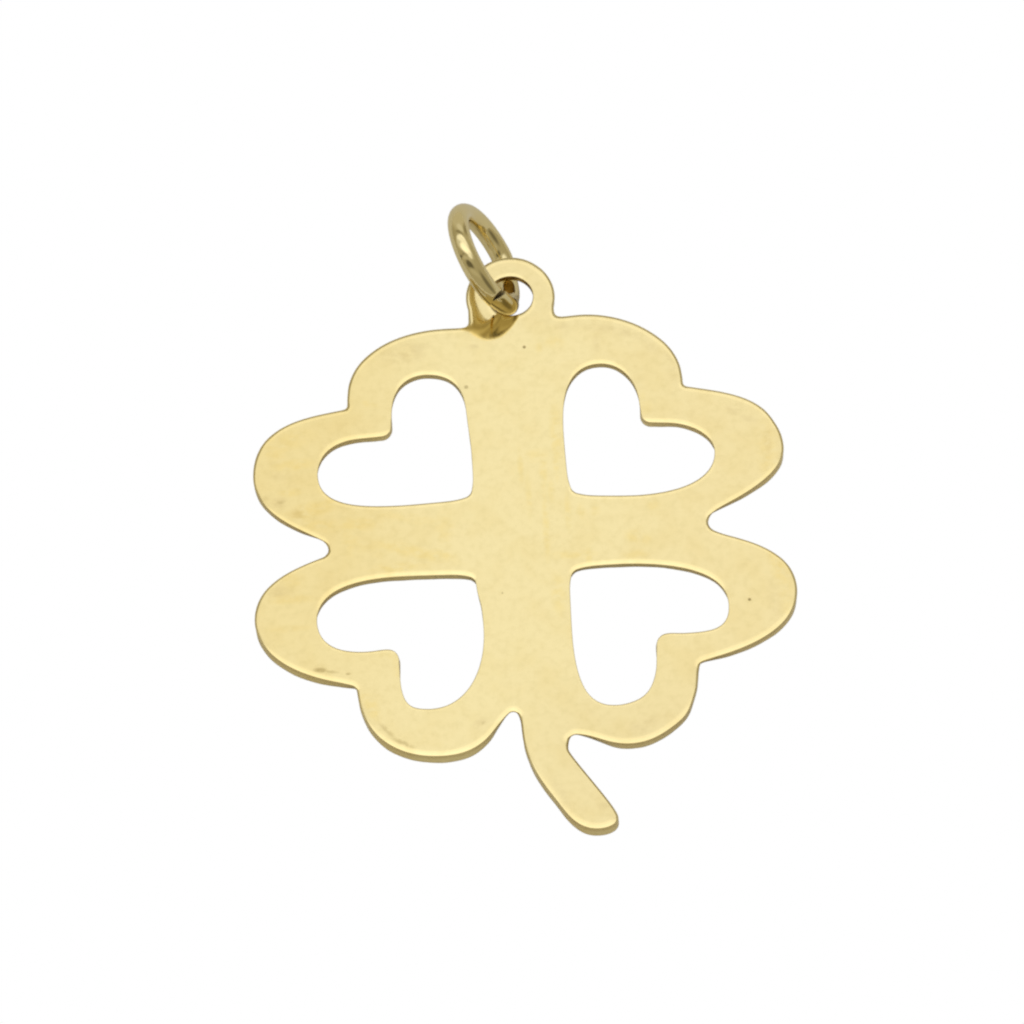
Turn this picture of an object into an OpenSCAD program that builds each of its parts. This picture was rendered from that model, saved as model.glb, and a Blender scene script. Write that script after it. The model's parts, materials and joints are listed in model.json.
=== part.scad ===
// Four leaf clover pendant
// A flat sheet clover with four heart shaped openings, a curved stem and a
// round tab, and an open jump ring that passes through the hole in the tab.
// The tab points along +Y and the polished face looks up. The pendant lies as
// it rests on a table, on the jump ring, the stem and the lower left leaf.
// The sheet is drawn in its own plane, with the clover's centre at the origin
// and its back face at z = 0, and the whole is then set down on z = 0.

/* [Clover] */
// Width over the side lobes
clover_w = 23.9; // [20:0.1:28]
// Height over the upper and lower lobes, without the tab and the stem
clover_h = 21.2; // [18:0.1:25]
// Thickness of the sheet
sheet_t = 0.44; // [0.3:0.02:0.5]
// Radius in the notch of each leaf
notch_r = 0.3; // [0.15:0.05:0.6]
// Radius in the valley between two leaves
valley_r = 0.55; // [0.3:0.05:0.8]

/* [Heart openings] */
// Width of a heart
heart_w = 6.9; // [5.5:0.1:7.5]
// Height of a heart
heart_h = 6.6; // [5.2:0.1:7.2]
// Width of the upright band of metal between the left and right hearts
upright_w = 4.1; // [3:0.1:5]
// Width of the level band of metal between the upper and lower hearts
level_w = 3.44; // [2.4:0.1:4.5]
// Radius at the tip of a heart
tip_r = 0.4; // [0.2:0.05:0.7]
// Radius in the cleft of a heart
cleft_r = 0.5; // [0.2:0.05:0.7]

/* [Stem] */
// Width of the stem
stem_w = 1.87; // [1.4:0.1:2.4]
// Drop of the stem's tip below the lower lobes
stem_drop = 3.77; // [2.5:0.1:5]
// Sideways reach of the stem's tip from the clover's centre line
stem_reach = 2.65; // [1.5:0.05:3.5]
// Radius where the stem meets the leaves
root_r = 0.35; // [0.2:0.05:0.5]

/* [Tab] */
// Diameter of the round tab
tab_d = 4; // [3.4:0.1:4.6]
// Diameter of the hole in the tab
hole_d = 2.06; // [2:0.02:2.4]
// Height of the hole's centre above the upper lobes
tab_rise = 1.43; // [1:0.05:2.5]
// Radius where the tab meets the leaves
shoulder_r = 0.35; // [0.2:0.05:0.6]

/* [Jump ring] */
// Inside diameter of the jump ring
ring_d = 3.64; // [3.3:0.1:5]
// Diameter of its round wire
wire_d = 0.96; // [0.7:0.02:1]
// Width of the open cut between its two ends
cut_w = 0.13; // [0.05:0.01:0.3]
// Turn of the ring's axis from +X towards +Y, in degrees
ring_turn = 14.6; // [0:0.2:30]
// Lift of the ring's axis above the sheet, in degrees
ring_lift = 26.7; // [15:0.2:30]

/* [Hidden] */

$fn = 96;

// Steps of one curve of an outline, of a small corner arc and of the tab
curve_steps = 10;
corner_steps = 6;
tab_steps = 36;

half_w = clover_w / 2;
half_h = clover_h / 2;
tab_r = tab_d / 2;
hole_r = hole_d / 2;
wire_r = wire_d / 2;
ring_r = ring_d / 2 + wire_r;

// The hole stands a little to the right of the clover's centre line
hole = [0.003 * half_w, half_h + tab_rise];

// The leaves, each in its own quarter, as if it were the upper right one.
// Points are shares of half_w and half_h. The crest is the top of the inner
// lobe, the flank its outer edge, the notch the corner between the lobes and
// the far point the end of the outer lobe. Brow is the fall of the outer
// lobe's upper edge at the notch and heel the rise of its lower edge at the
// valley, both in degrees. Full is how round the edge is from crest to flank,
// and above and below the far point.
SIDE = 0; UP = 1; CREST = 2; FLANK = 3; NOTCH = 4; FAR = 5; BROW = 6; HEEL = 7; FULL = 8;
leaves = [
    // side, up, crest,       flank,          notch,          far,     brow, heel, full
    [-1,  1, [0.251, 0.993], [0.627, 0.690], [0.627, 0.630], [0.990, 0.330],  8, 26, [0.39, 0.45, 0.42]],
    [ 1,  1, [0.272, 1.028], [0.632, 0.715], [0.632, 0.660], [0.994, 0.350], 11, 27, [0.36, 0.44, 0.34]],
    [-1, -1, [0.335, 0.999], [0.627, 0.680], [0.627, 0.651], [0.998, 0.335],  9, 23, [0.43, 0.39, 0.44]],
    [ 1, -1, [0.355, 0.980], [0.618, 0.660], [0.620, 0.612], [1.003, 0.308], 10, 25, [0.36, 0.37, 0.44]]
];
TOP_LEFT = 0; TOP_RIGHT = 1; LOW_LEFT = 2; LOW_RIGHT = 3;

// The corners of the valleys between the leaves, and how far the straight
// edges beside them run, as shares of half_w and half_h
valleys = [[-0.655, -0.014], [0.636, 0.026]];
heel_run = 0.17;

// The hearts, each in its own quarter, with the corner of the two bands as
// origin. Points are shares of heart_w and heart_h. The tip is the corner by
// the clover's centre, the base the lowest point, the far point the end of
// the outer lobe and the roof its top by the cleft; the throat is the inner
// lobe's side above the cleft, the crest its top and the wall its inner side.
// Round is how full the edge is from base to far point, on to the roof, from
// throat to crest and on to the wall.
TIP = 0; BASE = 1; LOBE = 2; ROOF = 3; THROAT = 4; TOP = 5; WALL = 6; ROUND = 7;
hearts = [
    // upper left: tip, base, far point, roof, throat, crest, wall, round
    [[0.000, 0.032], [0.457, 0.008], [1.004, 0.252], [0.703, 0.523],
     [0.506, 0.702], [0.283, 0.989], [0.001, 0.255], [0.39, 0.45, 0.43, 0.45]],
    // upper right
    [[0.026, 0.022], [0.442, -0.005], [0.983, 0.308], [0.680, 0.526],
     [0.509, 0.694], [0.268, 1.009], [0.010, 0.497], [0.39, 0.33, 0.39, 0.42]],
    // lower left
    [[0.000, 0.020], [0.486, 0.006], [1.038, 0.300], [0.740, 0.540],
     [0.517, 0.785], [0.333, 0.982], [-0.023, 0.436], [0.39, 0.46, 0.47, 0.39]],
    // lower right
    [[-0.003, -0.002], [0.312, -0.011], [0.999, 0.300], [0.760, 0.520],
     [0.515, 0.724], [0.254, 1.018], [-0.006, 0.270], [0.33, 0.47, 0.39, 0.38]]
];

// Where the ring's wire passes through the sheet: its place in the hole, as a
// share of the play that the wire has there, and its angle round the ring
// from the ring's lowest point. The open cut lies further round.
pass_share = [0.07, -0.41];
pass_turn = -54.9;
cut_turn = -99.6;

function ray(angle) = [cos(angle), sin(angle)];
function unit(v) = v / norm(v);
function backwards(list) = [for (i = [len(list) - 1:-1:0]) list[i]];
function flip(p, leaf) = [p.x * leaf[SIDE], p.y * leaf[UP]];
function on_leaf(s) = [s.x * half_w, s.y * half_h];
function on_heart(s) = [upright_w / 2 + s.x * heart_w, level_w / 2 + s.y * heart_h];

// A smooth curve from p, left at one angle, to q, reached at another. The
// pulls are the lengths of its two handles as shares of the straight way.
function curve(p, leave, q, arrive, pull_p = 0.39, pull_q = 0.39) =
    let (way = norm(q - p),
         a = p + way * pull_p * ray(leave),
         b = q - way * pull_q * ray(arrive))
    [for (i = [0:curve_steps])
        let (t = i / curve_steps, s = 1 - t)
        s * s * s * p + 3 * s * s * t * a + 3 * s * t * t * b + t * t * t * q];

// An arc of radius r that rounds the corner between the ways to a and to b
function corner(a, tip, b, r) =
    let (u = unit(a - tip),
         v = unit(b - tip),
         half = acos(u * v) / 2,
         centre = tip + unit(u + v) * r / sin(half),
         from = tip + u * r / tan(half) - centre,
         start = atan2(from.y, from.x),
         sweep = sign(cross(u, v)) * (2 * half - 180))
    [for (i = [0:corner_steps]) centre + r * ray(start + sweep * i / corner_steps)];

// The end of the straight edge that leads from a leaf to its valley
function valley_of(leaf) = on_leaf(valleys[leaf[SIDE] < 0 ? 0 : 1]);
function heel_end(leaf) = flip(valley_of(leaf), leaf) + heel_run * half_w * ray(leaf[HEEL]);

// One leaf's edge from its crest round to its heel
function leaf_edge(leaf) =
    let (flank = on_leaf(leaf[FLANK]),
         notch = on_leaf(leaf[NOTCH]),
         far = on_leaf(leaf[FAR]),
         brow = notch + 2 * notch_r * ray(-leaf[BROW]))
    [for (p = concat(
        curve(on_leaf(leaf[CREST]), 0, flank, -90, leaf[FULL][0], leaf[FULL][0]),
        corner(flank, notch, brow, notch_r),
        curve(brow, -leaf[BROW], far, -90, leaf[FULL][1], leaf[FULL][1]),
        curve(far, -90, heel_end(leaf), 180 + leaf[HEEL], leaf[FULL][2], 0.34))) flip(p, leaf)];

function valley_edge(upper, lower) = corner(
    flip(heel_end(upper), upper), valley_of(upper), flip(heel_end(lower), lower), valley_r);

function crest_of(leaf) = flip(on_leaf(leaf[CREST]), leaf);

// The stem, from the lower left leaf's crest round its tip to the lower
// right leaf's crest. It leaves the clover straight down, then leans aside.
stem_lean = 33.5;
stem_root_x = 0.048 * half_w;
stem_tip = [stem_reach, -half_h - stem_drop];
stem_end = stem_tip + stem_w * [0.49, 0.34];
stem_mid = [0.53 * stem_reach, -half_h - 0.37 * stem_drop];
stem_left = stem_mid - stem_w / 2 * ray(stem_lean);
stem_right = stem_mid + stem_w / 2 * ray(stem_lean) + stem_w / 4 * ray(stem_lean + 90);
left_rise = on_leaf([-0.129, -0.868]);
left_root = [stem_root_x - 0.53 * stem_w, -0.88 * half_h];
left_corner = [stem_root_x - 0.56 * stem_w, -0.717 * half_h];
right_root = [stem_root_x + stem_w / 2, -0.976 * half_h];
right_corner = [stem_root_x + stem_w / 2, -0.892 * half_h];
right_fall = on_leaf([0.209, -0.925]);

stem_edge = concat(
    curve(crest_of(leaves[LOW_LEFT]), 0, left_rise, 60, 0.45, 0.39),
    corner(left_rise, left_corner, left_root, root_r),
    curve(left_root, -88, stem_left, stem_lean - 90),
    curve(stem_left, stem_lean - 90, stem_tip, 0),
    curve(stem_tip, 0, stem_end, 90),
    curve(stem_end, 90, stem_right, stem_lean + 90, 0.1),
    curve(stem_right, stem_lean + 90, right_root, 92, 0.5, 0.15),
    corner(right_root, right_corner, right_fall, root_r),
    curve(right_fall, -24, crest_of(leaves[LOW_RIGHT]), 0));

// The tab, from the upper right leaf's crest round to the upper left one's.
// Its sides run straight down from a little below the hole's centre.
neck_turn = 15;
neck_w = tab_r * cos(neck_turn);
neck_right = hole + tab_r * ray(-neck_turn);
neck_left = hole + tab_r * ray(180 + neck_turn);
right_shoulder = [hole.x + neck_w, crest_of(leaves[TOP_RIGHT]).y - 0.006 * half_h];
left_shoulder = [hole.x - neck_w, crest_of(leaves[TOP_LEFT]).y];

tab_edge = concat(
    corner(crest_of(leaves[TOP_RIGHT]), right_shoulder, neck_right, shoulder_r),
    [for (i = [0:tab_steps])
        hole + tab_r * ray(-neck_turn + (180 + 2 * neck_turn) * i / tab_steps)],
    corner(neck_left, left_shoulder, crest_of(leaves[TOP_LEFT]), shoulder_r));

// The clover's outline, counter-clockwise from the upper left leaf
outline = concat(
    leaf_edge(leaves[TOP_LEFT]),
    valley_edge(leaves[TOP_LEFT], leaves[LOW_LEFT]),
    backwards(leaf_edge(leaves[LOW_LEFT])),
    stem_edge,
    leaf_edge(leaves[LOW_RIGHT]),
    backwards(valley_edge(leaves[TOP_RIGHT], leaves[LOW_RIGHT])),
    backwards(leaf_edge(leaves[TOP_RIGHT])),
    tab_edge);

function heart_edge(leaf, heart) =
    let (at = [for (i = [TIP:WALL]) on_heart(heart[i])],
         round = heart[ROUND],
         cleft = [at[THROAT].x, at[ROOF].y])
    [for (p = concat(
        corner(at[WALL], at[TIP], at[BASE], tip_r),
        curve(at[BASE], 0, at[LOBE], 90, round[0], round[0]),
        curve(at[LOBE], 90, at[ROOF], 180, round[1], round[1]),
        corner(at[ROOF], cleft, at[THROAT], cleft_r),
        curve(at[THROAT], 90, at[TOP], 180, round[2], round[2]),
        curve(at[TOP], 180, at[WALL], -90, round[3], round[3]))) flip(p, leaf)];

// The ring's axis, and its centre, worked out from where the wire passes
// through the middle of the sheet. A turn round the ring is counted from its
// lowest point.
ring_axis = [cos(ring_turn) * cos(ring_lift), sin(ring_turn) * cos(ring_lift), sin(ring_lift)];
function ring_ray(turn) =
    let (down = [cos(ring_turn) * sin(ring_lift), sin(ring_turn) * sin(ring_lift), -cos(ring_lift)],
         level = [-sin(ring_turn), cos(ring_turn), 0])
    cos(turn) * down + sin(turn) * level;
wire_play = hole_r - wire_r;
pass = [hole.x + pass_share.x * wire_play, hole.y + pass_share.y * wire_play, sheet_t / 2];
ring_centre = pass - ring_r * ring_ray(pass_turn);
cut_angle = 2 * asin(cut_w / 2 / ring_r);

// The rest on the table. Up is the table's upward direction in the sheet's
// own frame. The ring, the stem and the lower left leaf touch the table, and
// the touching points are looked for again after each tilt.
settle_steps = 4;
first_up = unit([0.02, 0.04, 1]);
function across(v, axis) = v - (v * axis) * axis;
function ring_foot(up) = ring_centre - ring_r * unit(across(up, ring_axis)) - wire_r * up;
function foot(edge, up) =
    let (points = [for (p = edge) [p.x, p.y, 0]],
         rises = [for (p = points) p * up])
    points[search(min(rises), rises)[0]];
function plane_up(a, b, c) =
    let (n = unit(cross(b - a, c - a)))
    n.z < 0 ? -n : n;
function settle(up, steps) =
    steps == 0 ? up : settle(plane_up(
        ring_foot(up), foot(stem_edge, up), foot(leaf_edge(leaves[LOW_LEFT]), up)), steps - 1);

up = settle(first_up, settle_steps);
side = unit(cross([0, 1, 0], up));
along = cross(up, side);

// How far the pendant reaches in a direction, from the sheet's origin
function reach(d) = max(
    max([for (p = outline) for (z = [0, sheet_t]) [p.x, p.y, z] * d]),
    ring_centre * d + ring_r * norm(across(d, ring_axis)) + wire_r);
shift = [(reach(-side) - reach(side)) / 2, (reach(-along) - reach(along)) / 2, reach(-up)];

module at_rest() {
    multmatrix([
        [side.x, side.y, side.z, shift.x],
        [along.x, along.y, along.z, shift.y],
        [up.x, up.y, up.z, shift.z],
        [0, 0, 0, 1]])
    children();
}

module clover_plate() {
    color("khaki")
    at_rest()
    linear_extrude(sheet_t)
        difference() {
            polygon(outline);
            for (i = [0:len(leaves) - 1])
                polygon(heart_edge(leaves[i], hearts[i]));
            translate(hole)
                circle(hole_r);
        }
}

module jump_ring() {
    color("darkkhaki")
    at_rest()
    translate(ring_centre)
    rotate([0, 0, ring_turn])
    rotate([0, 90 - ring_lift, 0])
    rotate(cut_turn + cut_angle / 2)
    rotate_extrude(angle = 360 - cut_angle)
        translate([ring_r, 0])
            circle(wire_r);
}

clover_plate();
jump_ring();
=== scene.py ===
"""Four leaf clover pendant: the looks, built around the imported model.

The clover sheet and the jump ring are rebuilt here as finer meshes, in the
places that the model gives, with polished gold, a pale floor and soft light.
Lengths are in metres. MM turns a millimetre into metres.
"""

import json
import math

import bmesh
import bpy
import numpy as np
from mathutils import Matrix, Vector


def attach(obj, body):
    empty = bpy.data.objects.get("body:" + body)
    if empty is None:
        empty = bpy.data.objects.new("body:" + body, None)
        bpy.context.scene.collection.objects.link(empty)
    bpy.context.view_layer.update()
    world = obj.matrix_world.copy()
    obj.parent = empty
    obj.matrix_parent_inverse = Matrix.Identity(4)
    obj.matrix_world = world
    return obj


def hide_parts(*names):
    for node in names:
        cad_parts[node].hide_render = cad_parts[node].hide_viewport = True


MM = 0.001

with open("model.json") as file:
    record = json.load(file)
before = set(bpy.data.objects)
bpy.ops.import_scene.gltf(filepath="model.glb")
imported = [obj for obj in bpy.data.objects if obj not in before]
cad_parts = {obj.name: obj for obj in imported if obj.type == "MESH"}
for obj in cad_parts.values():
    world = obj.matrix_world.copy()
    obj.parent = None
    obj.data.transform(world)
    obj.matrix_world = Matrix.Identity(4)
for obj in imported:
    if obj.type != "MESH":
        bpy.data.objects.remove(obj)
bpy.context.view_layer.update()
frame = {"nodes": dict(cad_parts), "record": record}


# The sheet's own frame
TAB_TOP = 14.03 * MM         # the tab's top above the clover's centre
FAR_LEFT = 11.926 * MM       # the left leaves' reach from the clover's centre
ON_FACE = 0.99               # least cosine between the front face and the sheet's upward axis
SAME_PLACE = 0.001 * MM      # vertices this close are one


def mesh_arrays(node):
    """Vertices, and each face's corners, normal and area, of a model node."""
    mesh = frame["nodes"][node].data
    points = np.array([v.co for v in mesh.vertices], float)
    faces = [tuple(p.vertices) for p in mesh.polygons]
    normals = np.array([p.normal for p in mesh.polygons], float)
    areas = np.array([p.area for p in mesh.polygons], float)
    return points, faces, normals, areas


class Sheet:
    """The clover sheet's axes, centre and outlines, read from its node."""

    def __init__(self):
        points, faces, normals, areas = mesh_arrays("clover_plate")
        up = normals[np.argmax(areas * (normals[:, 2] > 0))]
        self.up = up / np.linalg.norm(up)
        self.along = np.array([0, self.up[2], -self.up[1]])
        self.along /= np.linalg.norm(self.along)
        self.side = np.cross(self.along, self.up)
        axes = np.array([self.side, self.along, self.up])
        own = points @ axes.T
        self.front, self.thick = own[:, 2].max(), np.ptp(own[:, 2])
        centre = np.array([own[:, 0].min() + FAR_LEFT, own[:, 1].max() - TAB_TOP, self.front])
        self.centre = centre @ axes
        flat = own - centre
        on_top = [f for f, n in zip(faces, normals) if n @ self.up > ON_FACE]
        self.loops = [flat[loop, :2] for loop in boundary_loops(on_top, points)]
        self.hole = int(np.argmax([loop[:, 1].min() for loop in self.loops]))
        self.hole_at = self.loops[self.hole].mean(0)

    def place(self, x, y, z):
        """World points of sheet points, given from the front face's centre."""
        return self.centre + np.outer(x, self.side) + np.outer(y, self.along) + np.outer(z, self.up)


def boundary_loops(faces, points):
    """The closed edge loops round a set of faces, as lists of vertices."""
    keys = [tuple(np.round(p / SAME_PLACE).astype(int)) for p in points]
    name = {}
    for i, key in enumerate(keys):
        name.setdefault(key, i)
    same = [name[key] for key in keys]
    used = {}
    for face in faces:
        ring = [same[i] for i in face]
        for a, b in zip(ring, ring[1:] + ring[:1]):
            used[(a, b)] = used.get((a, b), 0) + 1
    after = {a: b for (a, b) in used if (b, a) not in used}
    loops = []
    while after:
        start = next(iter(after))
        loop = [start]
        while after[loop[-1]] != start:
            loop.append(after.pop(loop[-1]))
        after.pop(loop[-1])
        loops.append(loop)
    return sorted(loops, key=len, reverse=True)


# Smooth outlines
STEP = 0.12 * MM             # spacing of points along an outline
LEAST_GAP = 0.02 * MM        # closer points of the model's outline are left out
FINENESS = 12                # points on each stretch of the curve before it is evened out


def smooth_loop(points):
    """Evenly spaced points on a smooth closed curve through a loop's points."""
    gap = np.linalg.norm(np.roll(points, -1, 0) - points, axis=1)
    points = points[gap > LEAST_GAP]
    count = len(points)
    p0, p1, p2, p3 = (np.roll(points, k, 0) for k in (1, 0, -1, -2))

    def root(a, b):
        return np.sqrt(np.linalg.norm(b - a, axis=1))[:, None]

    t01, t12, t23 = root(p0, p1), root(p1, p2), root(p2, p3)
    m1 = p2 - p1 + t12 * ((p1 - p0) / t01 - (p2 - p0) / (t01 + t12))
    m2 = p2 - p1 + t12 * ((p3 - p2) / t23 - (p3 - p1) / (t12 + t23))
    fine = []
    for t in np.arange(FINENESS) / FINENESS:
        fine.append((2 * t**3 - 3 * t**2 + 1) * p1 + (t**3 - 2 * t**2 + t) * m1
                    + (3 * t**2 - 2 * t**3) * p2 + (t**3 - t**2) * m2)
    curve = np.stack(fine, 1).reshape(count * FINENESS, 2)
    closed = np.vstack([curve, curve[:1]])
    way = np.concatenate([[0], np.cumsum(np.linalg.norm(np.diff(closed, axis=0), axis=1))])
    total = way[-1]
    steps = int(total / STEP)
    stations = np.arange(steps) * total / steps
    return np.stack([np.interp(stations, way, closed[:, k]) for k in (0, 1)], 1)


def inward(loop):
    """Unit normals of a loop that point into the metal, on its left side."""
    ahead = np.roll(loop, -1, 0) - np.roll(loop, 1, 0)
    ahead /= np.linalg.norm(ahead, axis=1)[:, None]
    return np.stack([-ahead[:, 1], ahead[:, 0]], 1)


# The worn edge. The face rolls off gently, more where it faces the clover's foot,
# then rounds over into the wall, more where it faces the tab. The rounding lies
# further out in the hollows and near them, and further in on bulges and towards
# the foot, and the wall leans to make up for it. Upper values hold where an edge
# faces the tab, lower ones where it faces the foot. Insets count into the metal.
ROLL_W = 0.30 * MM           # width of the roll, and below it its depth
ROLL_POWER = 2.0
UPPER_ROLL = {"outline": 0.013 * MM, "opening": 0.013 * MM, "hole": 0.013 * MM}
LOWER_ROLL = {"outline": 0.026 * MM, "opening": 0.034 * MM, "hole": 0.026 * MM}
# Radius of the rounding
UPPER_R = {"outline": 0.115 * MM, "opening": 0.042 * MM, "hole": 0.050 * MM}
LOWER_R = {"outline": 0.040 * MM, "opening": 0.018 * MM, "hole": 0.018 * MM}
TOP_R = 0.060 * MM           # less of it where the outline faces the tab squarely
TOP_FACING = (0.75, 1)
SIDE_R = 0.030 * MM          # more where it faces left or right
SIDE_FACING = (0.75, 0.97)
FOOT_FACING = (-0.1, 0.6)    # where the outline's rounding turns from upper to lower
UPPER_INSET = {"outline": -0.018 * MM, "opening": 0.012 * MM, "hole": 0.0}
LOWER_INSET = {"outline": 0.026 * MM, "opening": 0.022 * MM, "hole": 0.0}
LOWER_FACING = (0.0, 0.5)    # where its inset does
BACK_R = 0.008 * MM
BACK_INSET = {"outline": 0.010 * MM, "opening": 0.028 * MM, "hole": 0.040 * MM}
BACK_HOLLOW = 0.048          # how much further out the openings' back lies in a hollow
BACK_FACING = (0, 0.4)       # where it faces the foot
SKEW = 0.013 * MM            # the outline lies further in at the lower left
BACK_SKEW = 0.027 * MM       # and its back still more
# How much further out an edge lies in a hollow, as a share of its hollowness
HOLLOW_GAIN = {"outline": 0.015, "opening": 0.078, "hole": 0.0}
LOWER_GAIN = 0.045           # the same for the outline where it faces the foot
HOLLOW_RANGE = (-0.6, 2.2)   # hollowness, per millimetre, beyond which no more is gained
BELOW_TAB = (10.4 * MM, 9.2 * MM)        # heights between which this sets in below the tab
RIGHT_GAIN = 0.045 * MM      # the lower right opening's edge lies further out
NEAR_HOLLOW = 0.141 * MM     # as does the outline near its lower hollows
NEAR_RANGE = (-0.4, 0.8)     # broad hollowness over which that sets in
FOOT_GAIN = 0.093 * MM       # the outline lies further in towards the foot and the left
FOOT_WAY = (-0.5, -1.0)
FOOT_RANGE = (6 * MM, 12 * MM)
SHARP, BROAD = 0.24 * MM, 1.3 * MM       # spreads over which a hollow is judged
AVERAGE_REACH = 32           # steps that an average takes in on each side
HOLE_LIP = 0.095 * MM        # how far the hole's lower left edge leans in
LIP_WAY = (-0.60, -0.80)     # the way from the hole's centre to it
LIP_WEAR = 0.090 * MM        # and how much rounder the ring has worn it
WAVE = 0.006 * MM            # how far the cut wall wanders
WAVES = ((2.3, 1.0, 0.0), (5.1, 0.7, 1.3))  # turn per millimetre, share and start of each wave
# Steps of the roll, the rounding, the wall and the back's rounding
ROLL_STEPS, ROUND_STEPS, WALL_STEPS, BACK_STEPS = 9, 8, 6, 3
# Places where the punched edge strays from the even outline: x and y from the
# clover's centre, reach and way outwards, in millimetres
STRAYS = [
    (-2.1, 5.9, 0.95, 0.14), (-2.0, -2.7, 0.35, 0.09), (-6.1, -5.35, 0.40, 0.11), (-5.2, -7.9, 0.35, -0.08),
    (8.5, -4.65, 0.50, -0.12), (6.2, -5.2, 0.30, 0.07), (5.0, -7.95, 0.50, -0.08), (2.9, -8.1, 0.70, -0.07),
    (-8.6, -0.2, 0.40, -0.09), (8.7, 0.0, 0.80, -0.11), (6.65, -9.0, 0.50, 0.10), (11.5, 5.1, 0.50, -0.06),
]


def smooth_step(value, low, high):
    """From 0 at low to 1 at high, level at both."""
    t = np.clip((value - low) / (high - low), 0, 1)
    return t * t * (3 - 2 * t)


def hollowness(loop, spread):
    """How sharply the metal's edge is hollowed round each point, per millimetre."""
    ahead = np.roll(loop, -1, 0) - loop
    turn = np.arctan2(ahead[:, 1], ahead[:, 0])
    bend = np.angle(np.exp(1j * (turn - np.roll(turn, 1)))) / (STEP / MM)
    return -smoothed(bend, spread)


def smoothed(values, spread):
    """Values along a loop, each averaged with its neighbours."""
    reach = np.arange(-AVERAGE_REACH, AVERAGE_REACH + 1)
    weights = np.exp(-0.5 * (reach * STEP / spread)**2)
    weights /= weights.sum()
    return sum(w * np.roll(values, k) for w, k in zip(weights, reach))


def lower_skew(into):
    """From 1 where an outline faces the lower left to -1 at the lower right."""
    return 2 * into[:, 0] * np.clip(into[:, 1], 0, 1)


def strayed(loop):
    """How far outside its even outline a loop strays at each point."""
    out = np.zeros(len(loop))
    for x, y, reach, way in STRAYS:
        apart = np.hypot(loop[:, 0] / MM - x, loop[:, 1] / MM - y)
        out += way * MM * np.exp(-0.5 * (apart / reach)**2)
    return out


def edge_inset(loop, into, kind):
    """How far inside the outline the edge lies; negative where it hangs over."""
    lower = (1 + into[:, 1]) / 2
    gain = np.full(len(loop), HOLLOW_GAIN[kind])
    below_tab = smooth_step(loop[:, 1], *BELOW_TAB)
    if kind == "outline":
        lower = smooth_step(into[:, 1], *LOWER_FACING)
        gain += (LOWER_GAIN - gain) * lower
    inset = UPPER_INSET[kind] + (LOWER_INSET[kind] - UPPER_INSET[kind]) * lower
    inset -= gain * MM * np.clip(hollowness(loop, SHARP), *HOLLOW_RANGE) * below_tab
    if kind == "outline":
        foot = smooth_step(loop @ FOOT_WAY, *FOOT_RANGE)
        inset += FOOT_GAIN * foot * np.clip(into[:, 1], 0, 1) + SKEW * lower_skew(into)
        inset -= NEAR_HOLLOW * lower * smooth_step(hollowness(loop, BROAD), *NEAR_RANGE) * below_tab
    if kind == "opening" and loop[:, 0].mean() > 0 > loop[:, 1].mean():
        inset -= RIGHT_GAIN * np.clip(into[:, 1], 0, 1)
    if kind == "hole":
        inset -= HOLE_LIP * np.clip(into @ LIP_WAY, 0, 1)
    return smoothed(inset, SHARP) - strayed(loop)


def edge_rows(loop, into, kind, thick):
    """(inset, drop) of each point of an outline, from the face to the back."""
    lower = (1 + into[:, 1]) / 2
    edge = edge_inset(loop, into, kind)
    radius = UPPER_R[kind] + (LOWER_R[kind] - UPPER_R[kind]) * lower
    behind = np.full(len(loop), BACK_INSET[kind])
    if kind == "outline":
        radius = UPPER_R[kind] + (LOWER_R[kind] - UPPER_R[kind]) * smooth_step(into[:, 1], *FOOT_FACING)
        radius -= TOP_R * smooth_step(-into[:, 1], *TOP_FACING)
        radius += SIDE_R * smooth_step(np.abs(into[:, 0]), *SIDE_FACING)
        behind += BACK_SKEW * lower_skew(into)
    if kind == "hole":
        radius += LIP_WEAR * np.clip(into @ LIP_WAY, 0, 1)**2
    if kind == "opening":
        hollow = np.clip(hollowness(loop, SHARP), *HOLLOW_RANGE)
        behind -= BACK_HOLLOW * MM * hollow * smooth_step(into[:, 1], *BACK_FACING)
    behind -= strayed(loop)
    roll = UPPER_ROLL[kind] + (LOWER_ROLL[kind] - UPPER_ROLL[kind]) * lower
    slope = np.arctan(roll * ROLL_POWER / ROLL_W)
    along = np.arange(len(loop)) * STEP / MM
    behind -= WAVE * (1 + sum(share * np.sin(rate * along + start) for rate, share, start in WAVES))
    start = edge + radius * (1 - np.sin(slope))
    rows = [(start + ROLL_W * (1 - s), roll * s**ROLL_POWER) for s in np.linspace(0, 1, ROLL_STEPS + 1)]
    top = roll + radius * np.cos(slope)
    for s in np.linspace(0, 1, ROUND_STEPS + 1)[1:]:
        turn = slope + (math.pi / 2 - slope) * s
        rows.append((edge + radius * (1 - np.sin(turn)), top - radius * np.cos(turn)))
    for s in np.linspace(0, 1, WALL_STEPS + 1)[1:]:
        drop = top + (thick - BACK_R - top) * s
        rows.append((edge * (1 - s) + behind * s, drop))
    for a in np.linspace(0, math.pi / 2, BACK_STEPS + 1)[1:]:
        drop = np.full(len(loop), thick - BACK_R * (1 - math.sin(a)))
        rows.append((behind + BACK_R * (1 - math.cos(a)), drop))
    return rows


def add_object(name, bm):
    """A smoothly shaded object from an edited mesh, which it frees."""
    mesh = bpy.data.meshes.new(name)
    bm.to_mesh(mesh)
    bm.free()
    mesh.shade_smooth()
    obj = bpy.data.objects.new(name, mesh)
    bpy.context.scene.collection.objects.link(obj)
    return obj


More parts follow.
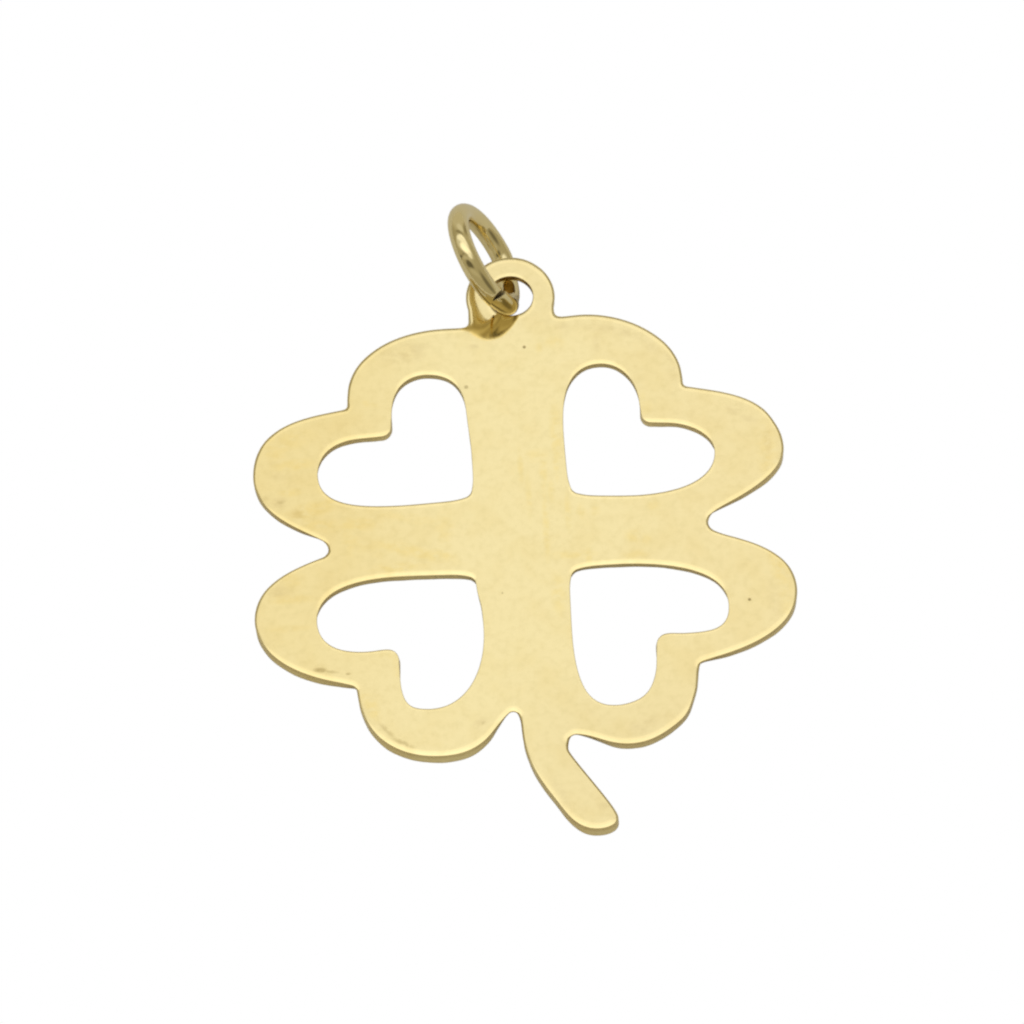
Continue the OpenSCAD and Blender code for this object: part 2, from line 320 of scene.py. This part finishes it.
def make_clover(sheet):
    """The sheet with rolled edges on every outline and two flat faces."""
    bm = bmesh.new()
    first_rows, last_rows = [], []
    for index, outline in enumerate(sheet.loops):
        kind = "outline" if index == 0 else "hole" if index == sheet.hole else "opening"
        loop = smooth_loop(outline)
        into = inward(loop)
        rings = []
        for inset, drop in edge_rows(loop, into, kind, sheet.thick):
            flat = loop + inset[:, None] * into
            ring = sheet.place(flat[:, 0], flat[:, 1], -drop)
            rings.append([bm.verts.new(p) for p in ring])
        for upper, lower in zip(rings, rings[1:]):
            for i, a in enumerate(upper):
                j = (i + 1) % len(upper)
                bm.faces.new((a, lower[i], lower[j], upper[j]))
        first_rows.append(rings[0])
        last_rows.append(rings[-1])
    for side in (first_rows, last_rows):
        edges = [bm.edges.get((a, b)) for ring in side for a, b in zip(ring, ring[1:] + ring[:1])]
        bmesh.ops.triangle_fill(bm, use_beauty=True, edges=edges)
    bmesh.ops.recalc_face_normals(bm, faces=bm.faces)
    return add_object("clover", bm)


# The jump ring. Turns are counted from its lowest point. The snipped ends slant
# back on their upper near side, miss each other a little, and leave a groove
# that is open on the near side and shut on the far one.
AROUND = 240                 # steps round the ring
SECTION = 48                 # steps round the wire
END_R = 0.020 * MM           # rounding of the wire's snipped ends
END_SHIFT = 0.07 * MM        # sideways step between the two ends
LAP = 0.10 * MM              # and their overlap on the far side
LAP_TURN = math.radians(301)  # which lies this way in the wire's section
SLANT = 0.95                 # slope of the snipped ends
SLANT_REACH = math.radians(42)           # turn round the ring over which it fades
NEAR = math.radians(27)      # the slant's direction in the wire's section
GROOVE = 0.27 * MM           # greatest width of the groove
GROOVE_TURN = NEAR + math.radians(58)    # its direction in the wire's section
GROOVE_LEAST = 0.13          # share of its width a quarter turn from there
GROOVE_FLOOR = 0.80          # share of the wire that meets across the cut
END_STEPS = 4                # steps of an end's rounding
ON_END = 0.9                 # least cosine between a cut face and the way round the ring
# Bends past the cut: the turns where each starts, is full, wanes and ends
BULGE = 0.06 * MM            # outwards
BULGE_WAYS = [math.radians(a) for a in (2, 24, 32, 60)]
BEND = 0.15 * MM             # inwards and as much sideways
BEND_WAYS = [math.radians(a) for a in (24, 50, 85, 125)]


class Ring:
    """The jump ring's axis, centre, sizes and cut, read from its node."""

    def __init__(self):
        mount = next(m for m in frame["record"]["mounts"] if m["name"] == "ring_loop")
        self.centre, self.axis = np.array(mount["pos_m"]), np.array(mount["axis"])
        self.axis /= np.linalg.norm(self.axis)
        self.down = np.cross(np.cross(self.axis, [0, 0, -1]), self.axis)
        self.down /= np.linalg.norm(self.down)
        self.level = np.cross(self.axis, self.down)
        points, faces, normals, _ = mesh_arrays("jump_ring")
        own = (points - self.centre) @ np.array([self.down, self.level, self.axis]).T
        reach = np.hypot(own[:, 0], own[:, 1])
        self.radius = (reach.max() + reach.min()) / 2
        self.wire_r = np.ptp(reach) / 2
        middles = np.array([own[list(face)].mean(0) for face in faces])
        turns = np.arctan2(middles[:, 1], middles[:, 0])
        ahead = np.outer(np.cos(turns), self.level) - np.outer(np.sin(turns), self.down)
        on_end = np.abs((normals * ahead).sum(1)) > ON_END
        self.cut = np.angle(np.exp(1j * turns[on_end]).sum()) % (2 * math.pi)

    def rays(self, turns):
        """Unit arrows from the ring's centre at these turns."""
        return np.cos(turns)[..., None] * self.down + np.sin(turns)[..., None] * self.level


def bent(way, ways):
    """How far a bend has come at each turn, from 0 up to 1 and back."""
    return smooth_step(way, ways[0], ways[1]) * (1 - smooth_step(way, ways[2], ways[3]))


def end_blend(distance):
    """How much of the slant a place keeps, by its distance from a snipped end."""
    return 1 - smooth_step(distance, 0, SLANT_REACH)


def make_ring(ring):
    """A round wire bent once round, with two snipped ends that nearly meet."""
    bm = bmesh.new()
    end_turn = END_R / ring.radius
    corner = np.linspace(0, math.pi / 2, END_STEPS + 1)[:-1]
    into_end = end_turn * (1 - np.cos(corner))
    rounded = END_R * (1 - np.sin(corner))
    whole = 2 * math.pi
    middle = np.linspace(end_turn, whole - end_turn, AROUND)
    way = np.concatenate([into_end, middle, whole - into_end[::-1]])
    less = np.concatenate([rounded, np.zeros(AROUND), rounded[::-1]])
    around = np.arange(SECTION) * 2 * math.pi / SECTION

    def section(way, less, apart):
        """Points round the wire, this far round from the cut's far side."""
        near = np.cos(around - NEAR)[None, :]
        opening = GROOVE_LEAST + (1 - GROOVE_LEAST) * np.cos(around - GROOVE_TURN)[None, :]
        part = apart * GROOVE * np.clip(opening, 0, 1) / 2 / ring.radius
        r = ring.wire_r - less
        slant = SLANT * r / ring.radius * near
        start, finish = end_blend(way), end_blend(whole - way)
        lap = LAP / ring.radius * np.clip(np.cos(around - LAP_TURN)[None, :], 0, 1)
        turns = ring.cut + way + (part - slant - lap) * start - (part + slant) * finish
        past = turns - ring.cut
        bend = BEND * bent(past, BEND_WAYS)
        reach = ring.radius + BULGE * bent(past, BULGE_WAYS) - bend + r * np.cos(around)
        sideways = r * np.sin(around) + END_SHIFT * (0.5 - way / whole) - bend
        return ring.centre + reach[..., None] * ring.rays(turns) + sideways[..., None] * ring.axis

    rows = section(way[:, None], less[:, None], 1)
    core = ring.wire_r * (1 - GROOVE_FLOOR)
    ends = section(np.array([[end_turn / 4], [whole - end_turn / 4]]), core, 0)
    rows = np.concatenate([ends[:1], rows, ends[1:]])
    rows[:, :, 2] -= min(rows[:, :, 2].min(), 0)
    rings = [[bm.verts.new(p) for p in row] for row in rows]
    for one, other in zip(rings, rings[1:]):
        groove = one is rings[0] or other is rings[-1]
        for i in range(SECTION):
            j = (i + 1) % SECTION
            face = bm.faces.new((one[i], one[j], other[j], other[i]))
            # Faces on the groove's side take the snipped ends' dark colour, painted shade in the groove
            face.material_index = int(groove and math.cos(around[i] - GROOVE_TURN) > 0)
    bm.faces.new(rings[0]).material_index = 1
    bm.faces.new(rings[-1])
    bmesh.ops.recalc_face_normals(bm, faces=bm.faces)
    return add_object("ring", bm)


# Node helpers
class Nodes:
    """Short ways to add nodes to one tree."""

    def __init__(self, tree):
        self.tree = tree
        tree.nodes.clear()

    def feed(self, socket, value):
        """Links a socket, or sets the number or colour on it."""
        if isinstance(value, bpy.types.NodeSocket):
            self.tree.links.new(value, socket)
        else:
            socket.default_value = value

    def math(self, operation, a, b=None, c=None):
        node = self.tree.nodes.new("ShaderNodeMath")
        node.operation = operation
        for socket, value in zip(node.inputs, (a, b, c)):
            if value is not None:
                self.feed(socket, value)
        return node.outputs[0]

    def dot(self, a, b):
        node = self.tree.nodes.new("ShaderNodeVectorMath")
        node.operation = "DOT_PRODUCT"
        self.feed(node.inputs[0], a)
        self.feed(node.inputs[1], b)
        return node.outputs["Value"]

    def combine(self, x, y, z=0.0):
        node = self.tree.nodes.new("ShaderNodeCombineXYZ")
        for socket, value in zip(node.inputs, (x, y, z)):
            self.feed(socket, value)
        return node.outputs[0]

    def ramp(self, value, low, high, to_low=0.0, to_high=1.0):
        """A smooth step of value from low to high."""
        node = self.tree.nodes.new("ShaderNodeMapRange")
        node.interpolation_type = "SMOOTHSTEP"
        for key, v in (("Value", value), ("From Min", low), ("From Max", high),
                       ("To Min", to_low), ("To Max", to_high)):
            self.feed(node.inputs[key], v)
        return node.outputs[0]

    def mix(self, factor, a, b, blend="MIX"):
        node = self.tree.nodes.new("ShaderNodeMix")
        node.data_type = "RGBA"
        node.blend_type = blend
        node.clamp_factor = True
        self.feed(node.inputs[0], factor)
        self.feed(node.inputs[6], a)
        self.feed(node.inputs[7], b)
        return node.outputs[2]

    def noise(self, vector, scale, detail, rough):
        node = self.tree.nodes.new("ShaderNodeTexNoise")
        self.feed(node.inputs["Vector"], vector)
        node.inputs["Scale"].default_value = scale
        node.inputs["Detail"].default_value = detail
        node.inputs["Roughness"].default_value = rough
        return node.outputs["Fac"]


# Materials
GOLD = (0.930, 0.790, 0.414, 1.0)
# Tints that the gold is multiplied by; the left and right ones are painted shade, where the face reflects
# less of the soft box
WARM = (0.990, 0.950, 0.810, 1.0)
GREY = (0.900, 0.885, 0.875, 1.0)
DARK = (0.450, 0.420, 0.350, 1.0)
BROWN = (0.520, 0.470, 0.360, 1.0)
LEFT_SHADE = (0.960, 0.927, 0.842, 1.0)
RIGHT_SHADE = (0.985, 0.970, 0.955, 1.0)
FOOT_TINT = (0.970, 0.960, 0.955, 1.0)
TAB_TINT = (0.975, 0.965, 0.955, 1.0)
FINE_TINT = (0.943, 0.937, 0.910, 1.0)
BROAD_TINT = (0.975, 0.960, 0.915, 1.0)
# The hole's tint is painted shade: the wall inside the hole is darkened
HOLE_SHADE = (0.430, 0.365, 0.300, 1.0)
# The wall top's tint is painted shade, darkening walls that face the foot just under the rim
WALL_TOP_SHADE = (0.860, 0.820, 0.750, 1.0)
# The colour of the ring's snipped ends, a dark brown that is painted shade in the groove between them, and
# how rough each surface is
SNIPPED_SHADE = (0.320, 0.260, 0.150, 1.0)
SNIPPED_ROUGH = 0.5
WIRE_ROUGH = 0.10
FACE_ROUGH = 0.09
WALL_ROUGHER = 0.16          # by this much more than the face
HOLE_REACH = 1.2             # millimetres round the hole's centre where the wall is painted with shade
MARK_SOFT = 0.7              # softness of the marks' rims, as a share of their size
DOT_SOFT = 0.4
HOLE_SOFT = 0.08

# Marks on the polished face: x, y, two radii in millimetres from the clover's
# centre, turn in degrees and strength
WARM_MARKS = [
    (-10.3, 5.2, 1.1, 0.50, 20, 0.6), (-10.0, 4.0, 0.8, 0.25, 5, 0.9), (-10.9, 4.6, 0.6, 0.30, 10, 0.6),
    (-10.2, 2.65, 0.4, 0.18, 0, 1.0), (-9.2, 1.75, 1.3, 0.35, 15, 0.9), (-8.9, 0.95, 0.9, 0.30, -5, 0.7),
    (-7.2, 0.9, 1.0, 0.30, 0, 0.8), (-7.6, 0.2, 0.3, 0.70, 0, 0.6), (-4.9, -0.55, 1.7, 0.28, -18, 0.9),
    (-5.6, -1.3, 1.1, 0.20, 0, 0.9), (-3.4, 0.5, 0.35, 0.80, 0, 0.6), (-3.6, -0.8, 0.6, 0.25, -10, 0.9),
    (-5.0, 1.1, 1.4, 0.20, -12, 0.5), (-6.4, -0.2, 1.2, 0.40, 0, 0.4), (-6.5, 6.9, 0.3, 0.15, -20, 0.7),
    (1.1, 0.3, 0.13, 1.4, 0, 0.9), (1.1, 3.1, 0.16, 0.8, 0, 0.9), (0.8, 3.9, 0.5, 0.3, 0, 0.6),
    (1.75, 4.9, 0.22, 1.3, 0, 0.9), (1.7, 3.4, 0.12, 0.7, 0, 0.7), (0.1, 3.4, 0.12, 0.7, 0, 0.7),
    (0.4, 1.8, 0.12, 0.9, 0, 0.6), (1.4, 2.1, 0.15, 0.5, 0, 0.6), (2.1, 1.0, 0.12, 0.8, 0, 0.7),
    (2.7, 1.0, 0.2, 0.35, 0, 0.6), (3.3, 1.1, 0.2, 0.3, 0, 0.6), (2.2, -1.1, 0.9, 0.18, 0, 0.8),
    (2.9, -1.2, 0.15, 0.35, 0, 0.8), (5.0, -1.25, 0.5, 0.2, 0, 0.7), (4.9, -0.35, 0.3, 0.3, 0, 0.8),
    (5.5, -0.5, 0.2, 0.25, 0, 0.6), (5.9, 1.1, 0.25, 0.25, 0, 0.6), (1.5, -3.0, 0.28, 0.9, 0, 0.8),
    (5.8, 6.2, 0.3, 0.5, 0, 0.6), (11.15, 3.5, 0.4, 1.3, 0, 0.7), (11.3, -2.2, 0.35, 0.9, 12, 1.0),
    (11.5, -3.6, 0.3, 1.0, -5, 0.6), (-6.9, -8.0, 0.25, 0.6, 20, 1.0), (-7.1, -7.5, 0.4, 0.2, 0, 0.6),
    (-10.3, -2.6, 0.9, 0.2, 0, 0.8), (-10.2, -1.6, 0.5, 0.35, -30, 0.6), (-6.2, -5.5, 0.5, 0.15, -10, 0.5),
    (-5.8, -6.2, 0.15, 0.5, 0, 0.6), (-10.5, -4.0, 0.9, 0.15, 0, 0.5), (1.9, 9.6, 0.4, 0.3, 0, 0.6),
    (1.2, 9.4, 0.15, 0.3, 0, 0.6),
]
GREY_MARKS = [
    (-4.6, 9.45, 0.6, 0.45, 10, 1.0), (-5.5, 9.3, 0.5, 0.4, 0, 0.7), (-4.0, 9.7, 0.4, 0.2, 0, 0.6),
    (-1.7, 9.55, 0.2, 0.1, 0, 0.9), (4.6, 10.0, 1.4, 0.22, -14, 0.8), (6.1, 9.2, 0.8, 0.2, -45, 0.6),
    (7.1, 8.0, 0.2, 0.8, 10, 0.5), (3.8, 9.4, 0.15, 0.4, 0, 0.7), (2.3, 10.35, 0.3, 0.15, 0, 0.8),
    (9.8, 5.7, 0.35, 0.25, 0, 0.8), (10.4, 5.2, 0.4, 0.2, -30, 0.7), (11.2, 3.9, 0.15, 0.6, 0, 0.7),
    (-10.7, 2.2, 0.4, 0.25, 0, 1.0), (-9.9, 1.55, 0.35, 0.25, 0, 1.0), (-10.6, 3.5, 0.5, 0.2, 0, 0.6),
    (-11.3, 2.4, 0.15, 0.15, 0, 0.8), (-10.8, -2.2, 0.45, 0.25, 0, 0.9), (4.9, -9.5, 0.55, 0.28, 15, 0.8),
    (11.0, -3.8, 0.3, 0.9, 0, 0.5), (-2.2, -9.0, 0.3, 0.2, 20, 0.9), (2.9, -13.2, 0.3, 0.2, 0, 0.7),
    (1.1, -12.6, 0.25, 0.9, 20, 0.5),
]
DARK_MARKS = [
    (0.55, 9.38, 0.075, 0.075, 0, 1.0), (9.86, -3.72, 0.07, 0.07, 0, 1.0), (-2.15, 7.5, 0.09, 0.09, 0, 0.6),
    (-0.98, -2.8, 0.04, 0.04, 0, 0.6),
]
BROWN_MARKS = [
    (-9.1, -6.08, 0.25, 0.10, -4, 0.8), (-8.65, -6.18, 0.30, 0.06, -10, 0.5),
    (-7.9, -6.33, 0.1, 0.05, 0, 0.6), (-5.6, -9.75, 0.45, 0.1, -28, 0.5), (-6.3, -9.1, 0.4, 0.1, -50, 0.4),
    (-2.1, -9.0, 0.12, 0.06, 45, 0.4), (-10.6, 2.2, 0.15, 0.08, 0, 0.4),
]


def marks(nodes, spot, rows, soft):
    """The strongest of a list of elliptical marks at each point of the face."""
    total = None
    for x, y, wide, high, turn, strength in rows:
        ball = nodes.tree.nodes.new("ShaderNodeTexGradient")
        ball.gradient_type = "SPHERICAL"
        place = ball.texture_mapping
        place.vector_type = "TEXTURE"
        place.translation = (x, y, 0)
        place.rotation = (0, 0, math.radians(turn))
        place.scale = (wide * (1 + soft), high * (1 + soft), 1)
        nodes.feed(ball.inputs["Vector"], spot)
        one = nodes.ramp(ball.outputs["Fac"], 0, 2 * soft / (1 + soft), 0.0, strength)
        total = one if total is None else nodes.math("MAXIMUM", total, one)
    return total


def gold_shader(nodes, colour, roughness):
    """Ends a material's nodes in a metal surface."""
    shader = nodes.tree.nodes.new("ShaderNodeBsdfPrincipled")
    shader.inputs["Metallic"].default_value = 1.0
    nodes.feed(shader.inputs["Base Color"], colour)
    nodes.feed(shader.inputs["Roughness"], roughness)
    out = nodes.tree.nodes.new("ShaderNodeOutputMaterial")
    nodes.tree.links.new(shader.outputs[0], out.inputs["Surface"])


def polished_gold(sheet):
    """Worn, softly polished sheet gold with a duller cut wall, and painted shade on the face's left and
    right sides, on the hole's wall and on walls by the rim.
    """
    material = bpy.data.materials.new("polished_gold")
    material.use_nodes = True
    nodes = Nodes(material.node_tree)
    place = nodes.tree.nodes.new("ShaderNodeTexCoord").outputs["Object"]
    moved = nodes.tree.nodes.new("ShaderNodeVectorMath")
    moved.operation = "SUBTRACT"
    nodes.feed(moved.inputs[0], place)
    moved.inputs[1].default_value = tuple(sheet.centre)
    x = nodes.dot(moved.outputs[0], tuple(sheet.side / MM))
    y = nodes.dot(moved.outputs[0], tuple(sheet.along / MM))
    z = nodes.dot(moved.outputs[0], tuple(sheet.up / MM))
    spot = nodes.combine(x, y)
    whole = nodes.combine(x, y, z)

    fine = nodes.noise(whole, 2.6, 4.0, 0.6)
    broad = nodes.noise(whole, 0.55, 3.0, 0.55)
    streaky = nodes.noise(nodes.combine(x, nodes.math("MULTIPLY", y, 1.6)), 1.8, 3.0, 0.6)
    patchy = nodes.ramp(streaky, 0.30, 0.62)
    speckled = nodes.ramp(fine, 0.30, 0.50)
    left = nodes.math("MULTIPLY", nodes.ramp(x, -2.0, -9.0), nodes.ramp(y, -13.0, 1.0))
    foot = nodes.math("MULTIPLY", nodes.ramp(x, -2.0, 2.0), nodes.ramp(y, -5.0, -10.0))

    colour = GOLD
    # The left and right tints below paint shade on the face's sides
    for factor, tint in (
            (left, LEFT_SHADE),
            (nodes.ramp(x, 2.0, 9.0), RIGHT_SHADE),
            (foot, FOOT_TINT),
            (nodes.ramp(y, 9.5, 11.5), TAB_TINT),
            (nodes.math("MULTIPLY", marks(nodes, spot, WARM_MARKS, MARK_SOFT), patchy), WARM),
            (nodes.math("MULTIPLY", marks(nodes, spot, GREY_MARKS, MARK_SOFT), patchy), GREY),
            (marks(nodes, spot, DARK_MARKS, DOT_SOFT), DARK),
            (nodes.math("MULTIPLY", marks(nodes, spot, BROWN_MARKS, MARK_SOFT), speckled), BROWN),
            (nodes.ramp(fine, 0.40, 0.75), FINE_TINT),
            (nodes.ramp(broad, 0.40, 0.70), BROAD_TINT)):
        colour = nodes.mix(factor, colour, tint, "MULTIPLY")

    # The cut wall is duller. It is painted darker as painted shade in the hole and by the rim of walls that
    # face the foot
    normal = nodes.tree.nodes.new("ShaderNodeNewGeometry").outputs["Normal"]
    facing = nodes.math("ABSOLUTE", nodes.dot(normal, tuple(sheet.up)))
    wall = nodes.ramp(facing, 0.955, 0.905)
    roughness = nodes.math("MULTIPLY_ADD", wall, WALL_ROUGHER, FACE_ROUGH)
    hole_x, hole_y = (float(v) / MM for v in sheet.hole_at)
    hole_shade_area = marks(nodes, spot, [(hole_x, hole_y, HOLE_REACH, HOLE_REACH, 0, 1.0)], HOLE_SOFT)
    colour = nodes.mix(nodes.math("MULTIPLY", wall, hole_shade_area), colour, HOLE_SHADE, "MULTIPLY")
    to_foot = nodes.ramp(nodes.dot(normal, tuple(sheet.along)), -0.3, -0.7)
    # Painted shade on the wall under the rim
    rim_shade = nodes.math("MULTIPLY", to_foot, nodes.math("MULTIPLY", wall, nodes.ramp(z, -0.26, -0.12)))
    colour = nodes.mix(rim_shade, colour, WALL_TOP_SHADE, "MULTIPLY")
    gold_shader(nodes, colour, roughness)
    return material


def plain_gold(name, colour, roughness):
    """Gold of one colour and roughness all over."""
    material = bpy.data.materials.new(name)
    material.use_nodes = True
    gold_shader(Nodes(material.node_tree), colour, roughness)
    return material


# Light and floor. Patches of the room round the sheet's upward axis, painted
# one over the other: centre and radii in degrees, turn, softness and level.
ROOM = 0.38
PATCHES = [
    ((0, 85), (95, 45), 0, 0.50, 0.50),       # the pale far side of the room
    ((-75, 42), (36, 22), -20, 0.60, 0.35),   # a duller stretch of it on the left
    ((50, 62), (22, 8), 30, 0.60, 0.27),      # and one on the right
    ((4, 53), (26, 8), 0, 0.30, 0.62),        # a lit panel behind the soft box
    ((-12, 41), (30, 3.5), 0, 0.50, 0.24),    # the dark gap before it
    ((-10, 15), (54, 19), 3, 0.20, 0.62),     # the soft box's dim rim
    ((-6, 26.5), (40, 8), 2, 0.30, 0.99),     # the soft box overhead, its far half
    ((2, 12.5), (34, 7.5), 4, 0.30, 1.14),    # and its near half
    ((5, 33.5), (20, 2.5), 0, 0.30, 1.12),    # its bright far edge
    ((-10, 5), (28, 8), 0, 0.50, 1.27),       # its brightest part
    ((16, -1), (16, 5), 20, 0.60, 0.95),      # and its corner
    ((-85, -14), (28, 3.5), -6, 0.40, 0.12),  # a dark frame on the left
    ((-45, -12), (18, 2), 14, 0.50, 0.24),    # and its thin end
    ((-22, -17), (40, 4), 6, 0.60, 0.50),     # a lit strip above the camera
    ((-20, -30), (29, 9), 10, 0.35, 0.12),    # the camera and its stand
    ((-8, -45), (34, 8), 5, 0.50, 0.46),      # light under the camera
    ((60, -32), (24, 20), 20, 0.50, 0.16),    # a dark corner of the room
]
DIM_COLOUR = (1.0, 0.916, 0.668, 1.0)         # dim parts of the room are warmer
DIM_LEVEL, BRIGHT_LEVEL = 0.30, 0.80          # and lose their warmth between these
WHITE = (1, 1, 1, 1)


def make_world(sheet):
    """The room's light; the camera sees it as plain white."""
    world = bpy.data.worlds.new("studio")
    bpy.context.scene.world = world
    world.use_nodes = True
    nodes = Nodes(world.node_tree)
    way = nodes.tree.nodes.new("ShaderNodeTexCoord").outputs["Generated"]
    x, y, z = (nodes.dot(way, tuple(axis)) for axis in (sheet.side, sheet.along, sheet.up))
    flat = nodes.math("SQRT", nodes.math("ADD", nodes.math("MULTIPLY", x, x),
                                         nodes.math("MULTIPLY", y, y)))
    angle = nodes.math("MULTIPLY", nodes.math("ARCCOSINE", z), 180 / math.pi)
    spread = nodes.math("DIVIDE", angle, nodes.math("MAXIMUM", flat, 1e-4))
    x, y = nodes.math("MULTIPLY", x, spread), nodes.math("MULTIPLY", y, spread)
    spot = nodes.combine(x, y)
    light = None
    for (px, py), (wide, high), turn, soft, level in PATCHES:
        patch = marks(nodes, spot, [(px, py, wide, high, turn, 1.0)], soft)
        if light is None:
            light = nodes.ramp(patch, 0, 1, ROOM, level)
        else:
            step = nodes.math("SUBTRACT", level, light)
            light = nodes.math("MULTIPLY_ADD", patch, step, light)
    colour = nodes.mix(nodes.ramp(light, DIM_LEVEL, BRIGHT_LEVEL), DIM_COLOUR, WHITE)
    seen = nodes.tree.nodes.new("ShaderNodeLightPath").outputs["Is Camera Ray"]
    background = nodes.tree.nodes.new("ShaderNodeBackground")
    nodes.feed(background.inputs["Color"], nodes.mix(seen, colour, WHITE))
    nodes.feed(background.inputs["Strength"], nodes.math("MAXIMUM", light, seen))
    out = nodes.tree.nodes.new("ShaderNodeOutputWorld")
    nodes.tree.links.new(background.outputs[0], out.inputs["Surface"])


FLOOR_SIZE = 1.2
FLOOR_COLOUR = (0.92, 0.92, 0.92, 1)


def make_floor():
    """A plain pale table that the camera sees as white."""
    mesh = bpy.data.meshes.new("floor")
    half = FLOOR_SIZE / 2
    corners = [(-half, -half, 0), (half, -half, 0), (half, half, 0), (-half, half, 0)]
    mesh.from_pydata(corners, [], [(0, 1, 2, 3)])
    obj = bpy.data.objects.new("floor", mesh)
    bpy.context.scene.collection.objects.link(obj)
    material = bpy.data.materials.new("pale_floor")
    material.use_nodes = True
    nodes = Nodes(material.node_tree)
    paper = nodes.tree.nodes.new("ShaderNodeBsdfDiffuse")
    paper.inputs["Color"].default_value = FLOOR_COLOUR
    white = nodes.tree.nodes.new("ShaderNodeEmission")
    white.inputs["Strength"].default_value = 1
    seen = nodes.tree.nodes.new("ShaderNodeLightPath").outputs["Is Camera Ray"]
    both = nodes.tree.nodes.new("ShaderNodeMixShader")
    nodes.tree.links.new(seen, both.inputs[0])
    nodes.tree.links.new(paper.outputs[0], both.inputs[1])
    nodes.tree.links.new(white.outputs[0], both.inputs[2])
    out = nodes.tree.nodes.new("ShaderNodeOutputMaterial")
    nodes.tree.links.new(both.outputs[0], out.inputs["Surface"])
    mesh.materials.append(material)


# Camera
TILT = 26.0                  # the view leans this far from the sheet's upward axis
ROLL = 2.9                   # and the sheet is turned this far in the picture
DISTANCE = 221.5 * MM
PIXEL = 0.0443 * MM          # one pixel at the sheet
IMAGE = 1024
CENTRE_PX = (521.7, 534.7)   # where the clover's centre lies in the picture
SENSOR = 36.0
NEAREST, FARTHEST = 0.01, 10             # what the camera takes in, in metres
SOFTNESS = 2.3               # width of the pixel filter, for the photograph's soft edges


def make_camera(sheet):
    """Looks at the sheet as the photograph does, with the clover's centre off the middle."""
    tilt = Matrix.Rotation(math.radians(-TILT), 3, "X")
    roll = Matrix.Rotation(math.radians(ROLL), 3, "Z")
    sheet_axes = Matrix([sheet.side, sheet.along, sheet.up])
    axes = (roll @ tilt @ sheet_axes).transposed()
    half = IMAGE / 2
    offset = Vector(((CENTRE_PX[0] - half) * PIXEL, (half - CENTRE_PX[1]) * PIXEL, -DISTANCE))
    data = bpy.data.cameras.new("camera")
    data.sensor_width = SENSOR
    data.lens = SENSOR * DISTANCE / (IMAGE * PIXEL)
    data.clip_start = NEAREST
    data.clip_end = FARTHEST
    camera = bpy.data.objects.new("camera", data)
    camera.matrix_world = Matrix.Translation(Vector(sheet.centre) - axes @ offset) @ axes.to_4x4()
    bpy.context.scene.collection.objects.link(camera)
    bpy.context.scene.camera = camera


sheet = Sheet()
make_camera(sheet)
make_world(sheet)
make_floor()

clover = make_clover(sheet)
clover.data.materials.append(polished_gold(sheet))
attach(clover, "root")
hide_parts("clover_plate")

ring = make_ring(Ring())
ring.data.materials.append(plain_gold("ring_gold", GOLD, WIRE_ROUGH))
ring.data.materials.append(plain_gold("snipped_end_shade", SNIPPED_SHADE, SNIPPED_ROUGH))
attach(ring, "root")
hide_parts("jump_ring")

bpy.context.scene.cycles.filter_width = SOFTNESS
view = bpy.context.scene.view_settings
view.view_transform = "Standard"
view.look = "None"
